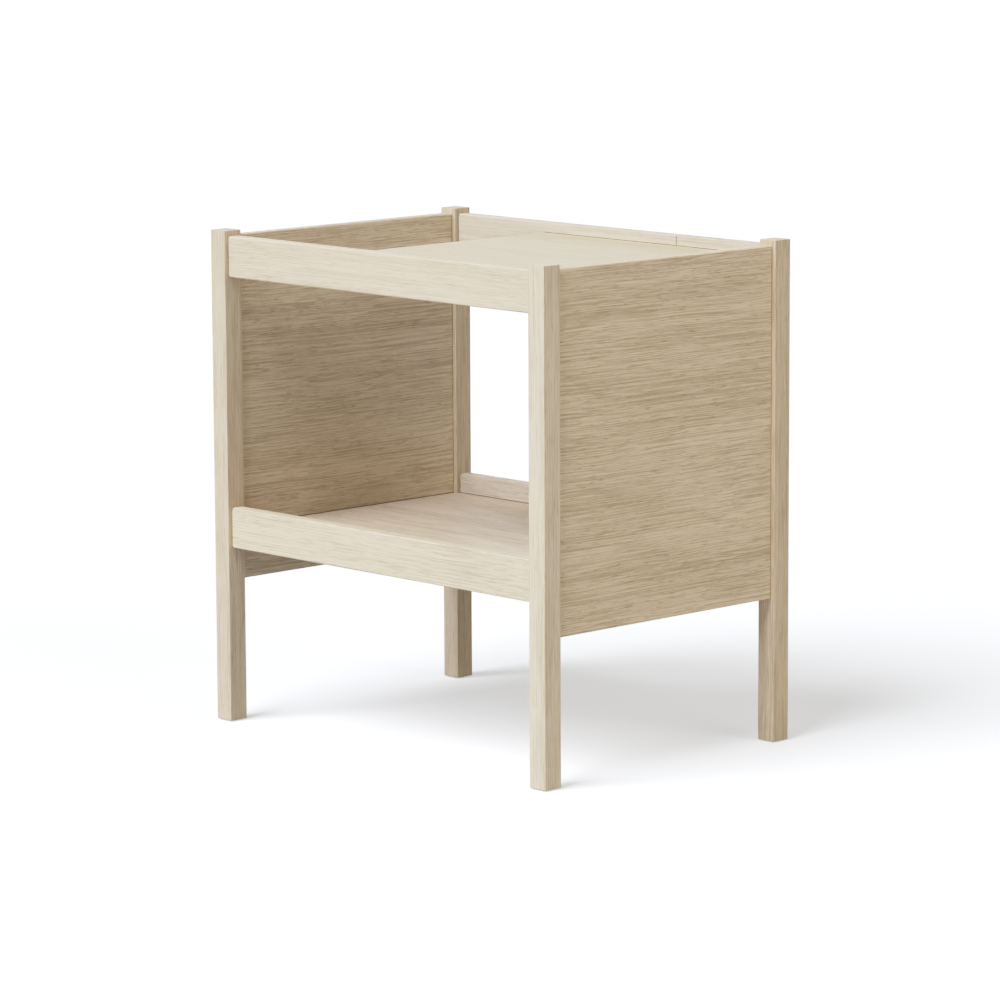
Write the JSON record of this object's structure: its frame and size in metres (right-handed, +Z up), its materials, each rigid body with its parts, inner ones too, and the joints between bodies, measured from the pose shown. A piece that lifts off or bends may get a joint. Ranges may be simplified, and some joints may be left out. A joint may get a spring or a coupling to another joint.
{
  "type": "bedside table",
  "caption": "Open oak bedside table: slim posts, side panels, rails, a top tray shelf with an open slot along its left side, and a lower tray shelf.",
  "frame": {"origin": "on the floor, under the middle of the table", "axes": "+X to the right seen from the front, +Y to the back, +Z up"},
  "size_m": [0.45, 0.316, 0.47],
  "materials": {
    "post_oak": "solid oak, white oiled, matt, grain upright",
    "rail_oak": "solid oak, white oiled, matt, grain along the rail, eased arrises",
    "panel_oak": "oak veneer on board, white oiled, matt, grain front to back",
    "shelf_oak": "oak veneer on board, white oiled, matt, grain side to side",
    "dowel_beech": "beech dowel, untreated, glued and hidden",
    "glide_nylon": "brown nylon furniture glide"
  },
  "bodies": {
    "root": {"front_left_post": "post_oak", "front_right_post": "post_oak", "back_left_post": "post_oak", "back_right_post": "post_oak", "left_side_panel": "panel_oak", "right_side_panel": "panel_oak", "top_front_rail": "rail_oak", "top_back_rail_long_stave": "rail_oak", "top_back_rail_short_stave": "rail_oak", "lower_front_rail": "rail_oak", "lower_back_rail": "rail_oak", "upper_shelf": "shelf_oak", "lower_shelf": "shelf_oak", "top_front_rail_dowels": "dowel_beech", "top_back_rail_dowels": "dowel_beech", "lower_front_rail_dowels": "dowel_beech", "lower_back_rail_dowels": "dowel_beech", "left_panel_dowels": "dowel_beech", "right_panel_dowels": "dowel_beech", "upper_shelf_dowels": "dowel_beech", "lower_shelf_dowels": "dowel_beech", "front_left_glide": "glide_nylon", "front_right_glide": "glide_nylon", "back_left_glide": "glide_nylon", "back_right_glide": "glide_nylon"}
  },
  "joints": []
}
